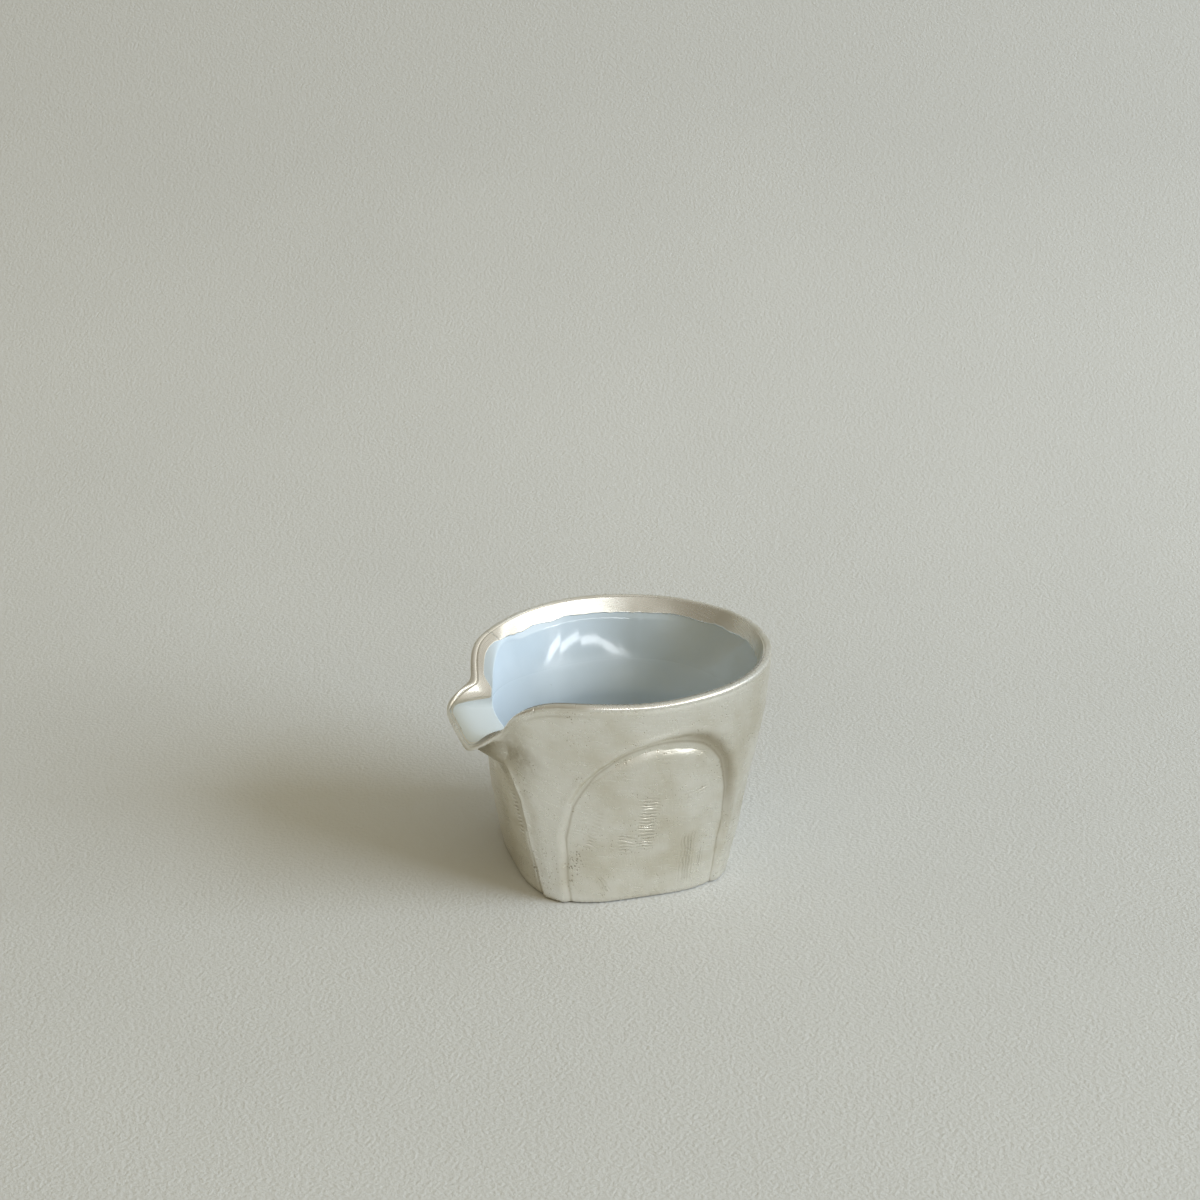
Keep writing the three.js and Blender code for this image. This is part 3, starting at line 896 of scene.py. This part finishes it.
@dataclass
class SilverWall:
    """The chased silver wall with its arched panels and the shell under the spout."""

    form: VesselForm
    finish: Material
    columns: int = 560
    tall: int = 150
    shoulder: float = 1.7
    wide_shoulder: float = 3.4
    side: Arch = Arch(21.3, 23.6, 22.0, 51.5, -5.5)
    front: Arch = Arch(21.7, 18.5, 20.0, 42.0, 0.0)
    back: Arch = Arch(21.5, 22.5, 22.0, 51.5, 0.0)

    def grid(self) -> Grid:
        """Section rows: round the foot, up the outside, over the top and down the hidden side.

        Returns:
            The layout.
        """
        rows = [{"share": 0.0, "layer": 0.0, "curl": 1 - i / 5} for i in range(5)]
        rows += [{"share": p, "layer": 0.0, "curl": 0.0} for p in steps(self.tall, 1.35)]
        rows += [{"share": 1 - p, "layer": 1.0, "curl": 0.0} for p in steps(7)]
        return Grid(warped(self.columns), rows, True, True)

    def relief(self, tree: ShapeTree, rules: VesselRules, z: Value) -> Value:
        """Depth of the panels below the wall.

        Args:
            tree: The geometry tree.
            rules: The vessel's rules.
            z: Height on the wall.

        Returns:
            Depth in millimetres.
        """
        radius = rules.body(z)
        x, y = radius * rules.c, radius * rules.s
        wobble = (tree.noise(tree.vector(x, y, z), 0.11, 1.0) - 0.5) * 1.5
        side = self.side.inside(x, z)
        front = self.front.inside(y, z) - rules.fold.of("GREATER_THAN", 60.0) * 200.0
        back = self.back.inside(y, z) - rules.fold.of("LESS_THAN", 120.0) * 200.0
        inside = side.of("MAXIMUM", front).of("MAXIMUM", back) + wobble
        nearer = rules.fold.of("LESS_THAN", 45.0) + rules.fold.of("GREATER_THAN", 135.0)
        seam_height = rules.edge_height - 3.2
        seam = (z - seam_height).bell(0.4) * (rules.fold - 50.0).bell(12.0)
        tree.keep("inside", inside)
        tree.keep("along", mix(x, y, nearer))
        tree.keep("seam", seam)
        tree.keep("wall_uv", tree.vector(rules.turn * 0.66, z, 0.0), "FLOAT_VECTOR")
        # hollow: where the grooves are deeper and wider. The chased silver also uses it as the mask of
        # its painted groove shade.
        hollow = (x * -1.0).smooth(0.0, 18.0) * z.smooth(12.0, 42.0)
        tree.keep("hollow", hollow)
        width = mix(self.shoulder, self.wide_shoulder, hollow)
        fall = (inside / width + 1.0).smooth(0.0, 1.12)
        lip = (inside + width).bell(1.0) * (1.0 - hollow) * 0.2
        crown = z.smooth(36.0, 47.0)
        brow = (inside / mix(0.9, 3.6, crown)).smooth(-0.2, 1.0) * mix(0.26, 0.6, crown)
        cushion = brow + inside.smooth(0.3, 11.0) * mix(0.6, 0.34, crown) + lip
        fade = mix(0.5, 1.0, z.smooth(0.0, 30.0)) * (1.0 - rules.share * z.smooth(35.0, 41.0))
        return tree.sizes.panel_depth * fade * (hollow * 0.3 + 1.0) * (fall - cushion)

    def build(self) -> None:
        """Makes the wall."""
        tree = ShapeTree("silver_wall_rule", self.form)
        rules = VesselRules(tree)
        f = tree.sizes
        share, layer = tree.attribute("share"), tree.attribute("layer")
        curl = tree.attribute("curl") * (math.pi / 2)
        top = rules.edge_height - f.band_bar
        z = mix(f.foot_round, top, share)
        below = top - z
        outside = rules.outer(z)
        uneven = tree.noise(tree.vector(outside * rules.c, outside * rules.s, z), 0.075, 2.0) - 0.7
        uneven = uneven * below.smooth(0.5, 9.0) * z.smooth(0.0, 8.0) * 0.9
        step_in = below.bell(0.7) * 0.12
        thin = mix(0.35, 1.2, (below / 10.0).between(0.0, 1.0))
        radius = outside - self.relief(tree, rules, z) * (1.0 - layer) + uneven - step_in - layer * thin
        radius = radius - f.foot_round * (1.0 - curl.of("COSINE"))
        tree.place(radius, z - f.foot_round * curl.of("SINE"), rules)
        tree.close(self.finish)
        Piece("silver_wall", self.grid(), tree).stand_for(Slot.CHASED, "silver_jacket", "silver_spout")


@dataclass
class EdgeBand:
    """The polished silver strip over the edge, turned down inside."""

    form: VesselForm
    finish: Material
    columns: int = 560
    joint: float = 42.0
    round: float = 0.95
    names: tuple = ("drop", "inset", "far", "slide", "lift", "inner")

    def rows(self) -> list[dict[str, float]]:
        """Section rows: outer face, rounded top, inner leg and the hidden way back.

        Returns:
            The rows.
        """
        bar = self.form.band_bar
        arcs = [i * math.pi / 12 for i in range(7)]
        curve = [(self.round * (1 - math.sin(a)), self.round * (1 - math.cos(a))) for a in arcs]
        face = [(bar, 0.3), (bar, 0.05), (bar - 0.08, 0.0), (bar - 0.25, 0.0)] + curve
        leg = [(0.06 + 0.94 * i / 18, 1.0) for i in range(18)]
        leg += [(1.0 - 0.012, 1.0), (1.0, 0.8), (1.0, 0.0), (0.9, -0.8), (0.5, -0.8), (0.15, -0.8)]
        places = [(drop, inset, 0.0, 0.0, 0.0, 0.0) for drop, inset in face]
        places += [(drop, -inset, 1.0, 0.0, 0.0, 0.0) for drop, inset in curve[:0:-1]]
        places += [(0.0, 0.0, 1.0, slide, lift, 1.0) for slide, lift in leg]
        return [dict(zip(self.names, place)) for place in places]

    def tree(self) -> ShapeTree:
        """The strip's rule.

        Returns:
            The finished tree.
        """
        tree = ShapeTree("edge_band_rule", self.form)
        rules = VesselRules(tree)
        drop, inset, far, slide, lift, inner = (tree.attribute(name) for name in self.names)
        in_r, in_z, _ = rules.shelf(slide * rules.band_share())
        slim = 1.0 - rules.lip * 0.57
        out_r = mix(rules.edge, rules.inner, far) - inset * slim
        out_z = mix(rules.edge_height, rules.inner_height, far) - drop
        radius = mix(out_r, in_r - lift * 0.18, inner)
        height = mix(out_z, in_z + lift * 0.1, inner)
        tree.keep("band_uv", tree.vector(rules.turn * 0.7, slide * 5.0, 0.0), "FLOAT_VECTOR")
        tree.place(radius, height, rules)
        tree.close(self.finish)
        return tree

    def build(self) -> None:
        """Makes the strip round the rim and the strip round the spout."""
        turns = warped(self.columns)
        ahead = [t for t in turns if t < self.joint - 0.2]
        spout = [-self.joint] + [-t for t in ahead[:0:-1]] + ahead + [self.joint]
        behind = [t for t in turns if self.joint + 0.2 < t < 360 - self.joint - 0.2]
        rim = [self.joint] + behind + [360 - self.joint]
        rows = self.rows()
        strips = ("rim_band", rim, "rim_binding"), ("spout_band", spout, "spout_binding")
        for name, around, node in strips:
            strip = Piece(name, Grid(around, rows, False, True), self.tree())
            strip.stand_for(Slot.POLISHED, node)


@dataclass
class PorcelainVessel:
    """The glazed porcelain vessel: trough, crease, inner wall, rounded corner and floor."""

    form: VesselForm
    finish: Material
    columns: int = 420
    shelf_rows: int = 34
    wall_rows: int = 44
    names: tuple = ("slide", "down", "curl", "reach", "below", "layer")

    def grid(self) -> Grid:
        """Section rows: the hidden side up from the middle, then the glazed side down to it.

        Returns:
            The layout.
        """
        places = [(p, 0.0, 0.0, 1.0, 0.0, 0.0) for p in steps(self.shelf_rows, 1.15)]
        falls = [(i / self.wall_rows) ** 1.2 for i in range(1, self.wall_rows + 1)]
        places += [(1.0, p, 0.0, 1.0, 1.0, 0.0) for p in falls]
        places += [(1.0, 1.0, i / 12, 1.0, 1.0, 0.0) for i in range(1, 13)]
        places += [(1.0, 1.0, 1.0, 1 - i / 10, 1.0, 0.0) for i in range(1, 11)]
        seen = [dict(zip(self.names, place)) for place in places]
        hidden = [{**row, "layer": 1.0} for row in seen[::-4]]
        return Grid(warped(self.columns), hidden + seen, True, False)

    def build(self) -> None:
        """Makes the vessel."""
        tree = ShapeTree("porcelain_rule", self.form)
        rules = VesselRules(tree)
        f = tree.sizes
        slide, down, curl, reach, below, layer = (tree.attribute(name) for name in self.names)
        curl = curl * (math.pi / 2)
        start = rules.band_share() - 0.07
        shelf_r, shelf_z, _ = rules.shelf(mix(start, 1.0, slide))
        low = f.floor_top + f.floor_corner
        wall_r, wall_z = rules.set_in(mix(rules.crease_height(), low, down))
        wall_r = (wall_r - f.floor_corner * (1.0 - curl.of("COSINE"))) * reach
        wall_z = wall_z - (wall_z - f.floor_top) * curl.of("SINE")
        radius = mix(shelf_r, wall_r, below) + layer * reach
        height = mix(shelf_z, wall_z, below) - layer
        # Mask of the painted light on the trough bed.
        tree.keep("bed", (1.0 - below) * rules.lip)
        tree.place(radius, height, rules)
        tree.close(self.finish)
        Piece("porcelain_vessel", self.grid(), tree).stand_for(Slot.PORCELAIN, "porcelain_liner")


@dataclass
class FootPlate:
    """The flat silver plate under the foot, as the part's frame has it."""

    finish: Material
    node: str = "silver_base"

    def dress(self) -> None:
        """Gives the plate its finish."""
        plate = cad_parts[self.node]
        plate.data.materials.clear()
        plate.data.materials.append(self.finish)
        LOG.info("%s: dressed", self.node)


@dataclass
class Studio:
    """Plain pale sweep, soft window-like light from one side and the camera of the picture."""

    camera_at: tuple = (0.1889, 0.6258, 0.3522)
    camera_axis: tuple = (-0.2617, -0.8849, -0.3853)
    lens: float = 75.0
    paper: Colour = (0.63, 0.638, 0.63, 1.0)
    far: Colour = (0.49, 0.49, 0.44, 1.0)
    ambient: float = 0.69
    sweep_start: float = 0.09
    sweep_round: float = 0.45
    key_at: tuple = (-2.75, 1.79, 1.45)
    key_power: float = 142.0
    key_size: tuple = (2.3, 1.9)
    glow: float = 1.3
    pane_turns: tuple = (-3.0, 14.0, 31.0, 48.0, 64.0)
    pane_rises: tuple = (18.0, 20.0, 19.0, 16.2, 12.3)
    pane_away: float = 1.2
    pane_power: float = 0.7
    pane_size: tuple = (0.33, 0.085)
    half: float = 3.0
    paper_shade: float = 0.86
    mouth_height: float = 0.052
    middle_height: float = 0.035
    key_tint: tuple = (0.76, 0.87, 1.0)
    pane_tint: tuple = (0.92, 0.97, 1.0)
    lit_from: tuple = (-0.9, 0.3, 0.3)
    warm_dim: Colour = (0.4, 0.31, 0.16, 1.0)
    warm_lit: Colour = (1.0, 0.87, 0.56, 1.0)
    even_dim: Colour = (0.36, 0.325, 0.25, 1.0)
    even_lit: Colour = (1.0, 0.97, 0.88, 1.0)

    def paper_finish(self) -> Material:
        """Matt paper with a fine tooth, painted darker up the sweep as painted shade.

        Returns:
            The material.
        """
        sheet = FinishSheet("backdrop_paper", Specular_IOR_Level=0.1)
        tooth = sheet.noise(sheet.here, 900.0, 4.0)
        cloud = sheet.noise(sheet.here, 9.0, 2.0)
        rise = sheet.parts(sheet.here)[2]
        # Random paper tone, plus painted shade that darkens the paper up the sweep.
        shade = cloud * 0.6 + rise.smooth(0.0, 0.2)
        dark = tuple(c * self.paper_shade for c in self.paper[:3]) + (1.0,)
        tone = sheet.blend(self.paper, dark, shade)
        sheet.paint(tone, tooth * 0.1 + 0.8, tooth, 0.3)
        return sheet.material

    def sweep(self) -> None:
        """Floor that rises into a backdrop behind the object, seen from the camera."""
        ahead = Vector((self.camera_axis[0], self.camera_axis[1], 0.0)).normalized()
        side = Vector((-ahead.y, ahead.x, 0.0))
        profile = [(-self.half, 0.0), (self.sweep_start, 0.0)]
        for i in range(1, 25):
            angle = i / 24 * math.pi / 2
            profile.append((self.sweep_start + self.sweep_round * math.sin(angle),
                            self.sweep_round * (1 - math.cos(angle))))
        profile.append((self.sweep_start + self.sweep_round, self.half))
        spots = [ahead * run + side * w + Vector((0, 0, rise - 0.0002))
                 for run, rise in profile for w in (-self.half, self.half)]
        quads = [(2 * i, 2 * i + 2, 2 * i + 3, 2 * i + 1)[::-1] for i in range(len(profile) - 1)]
        made = bpy.data.meshes.new("backdrop")
        made.from_pydata(spots, [], quads)
        made.polygons.foreach_set("use_smooth", [True] * len(quads))
        made.materials.append(self.paper_finish())
        thing = bpy.data.objects.new("backdrop", made)
        bpy.context.scene.collection.objects.link(thing)

    def around(self, turn: float, rise: float) -> tuple:
        """A place at the panes' distance from the vessel's mouth.

        Args:
            turn: Degrees to the right of the camera.
            rise: Degrees above the mouth.

        Returns:
            The place in metres.
        """
        heading = math.atan2(-self.camera_axis[1], -self.camera_axis[0]) + turn * RAD
        flat = self.pane_away * math.cos(rise * RAD)
        up = self.mouth_height + self.pane_away * math.sin(rise * RAD)
        return flat * math.cos(heading), flat * math.sin(heading), up

    def lamp(self, name: str, at: tuple, power: float, size: tuple, tint: tuple) -> bpy.types.Object:
        """A soft area lamp that faces the object.

        Args:
            name: Name of the lamp.
            at: Its place in metres.
            power: Its power in watts.
            size: Width and height in metres.
            tint: Its colour.

        Returns:
            The lamp.
        """
        data = bpy.data.lights.new(name, "AREA")
        data.shape = "RECTANGLE"
        data.size, data.size_y = size
        data.energy = power
        data.color = tint
        thing = bpy.data.objects.new(name, data)
        thing.location = at
        thing.rotation_mode = "QUATERNION"
        aim = Vector((0, 0, self.middle_height)) - Vector(at)
        thing.rotation_quaternion = aim.to_track_quat("-Z", "Y")
        bpy.context.scene.collection.objects.link(thing)
        return thing

    def world(self) -> None:
        """Room light, brighter on the window's side, with a tone of its own for mirrors and the eye."""
        world = bpy.data.worlds.new("room")
        world.use_nodes = True
        bpy.context.scene.world = world
        sheet = NodeSheet(world.node_tree)
        shader = next(n for n in sheet.tree.nodes if n.type == "BACKGROUND")
        way = sheet.out(sheet.node("ShaderNodeTexCoord"), "Generated")
        side, facing = (Value(sheet, sheet.out(sheet.node(
            "ShaderNodeVectorMath", {"operation": "DOT_PRODUCT"}, {0: way, 1: aim}), "Value"))
            for aim in (self.lit_from, tuple(Vector(self.key_at).normalized())))
        tone = side.smooth(-0.9, 0.9)
        warm = sheet.blend(self.warm_dim, self.warm_lit, tone)
        even = sheet.blend(self.even_dim, self.even_lit, tone)
        path = sheet.node("ShaderNodeLightPath")
        seen, gloss = (Value(sheet, sheet.out(path, key)) for key in ("Is Camera Ray", "Is Glossy Ray"))
        glow = facing.smooth(0.9, 0.98) * gloss * self.glow
        light = sheet.blend(warm, even, gloss)
        sheet.feed(shader.inputs["Color"], sheet.blend(light, self.far, seen))
        sheet.feed(shader.inputs["Strength"], mix(glow + self.ambient, 1.0, seen))

    def camera(self) -> None:
        """The picture's camera."""
        data = bpy.data.cameras.new("camera")
        data.lens = self.lens
        data.sensor_width = 36.0
        data.clip_start, data.clip_end = 0.01, 50.0
        thing = bpy.data.objects.new("camera", data)
        thing.location = self.camera_at
        thing.rotation_mode = "QUATERNION"
        thing.rotation_quaternion = Vector(self.camera_axis).to_track_quat("-Z", "Y")
        bpy.context.scene.collection.objects.link(thing)
        bpy.context.scene.camera = thing

    def build(self) -> None:
        """Sets up the whole studio."""
        bpy.context.scene.view_settings.view_transform = "Standard"
        self.sweep()
        window = self.lamp("window", self.key_at, self.key_power, self.key_size, self.key_tint)
        window.visible_glossy = False
        for number, (turn, rise) in enumerate(zip(self.pane_turns, self.pane_rises)):
            at = self.around(turn, rise)
            name = f"front_pane_{number}"
            pane = self.lamp(name, at, self.pane_power, self.pane_size, self.pane_tint)
            pane.visible_diffuse = False
        self.world()
        self.camera()


def main() -> None:
    """Builds the pitcher piece by piece, then the studio."""
    logging.basicConfig(level=logging.INFO, format="%(name)s %(message)s")
    form = VesselForm()
    polished = PolishedSilver().make()
    SilverWall(form, ChasedSilver().make()).build()
    EdgeBand(form, polished).build()
    PorcelainVessel(form, GlazedPorcelain().make()).build()
    FootPlate(PlateSilver().make()).dress()
    Studio().build()


if __name__ == "__main__":
    main()
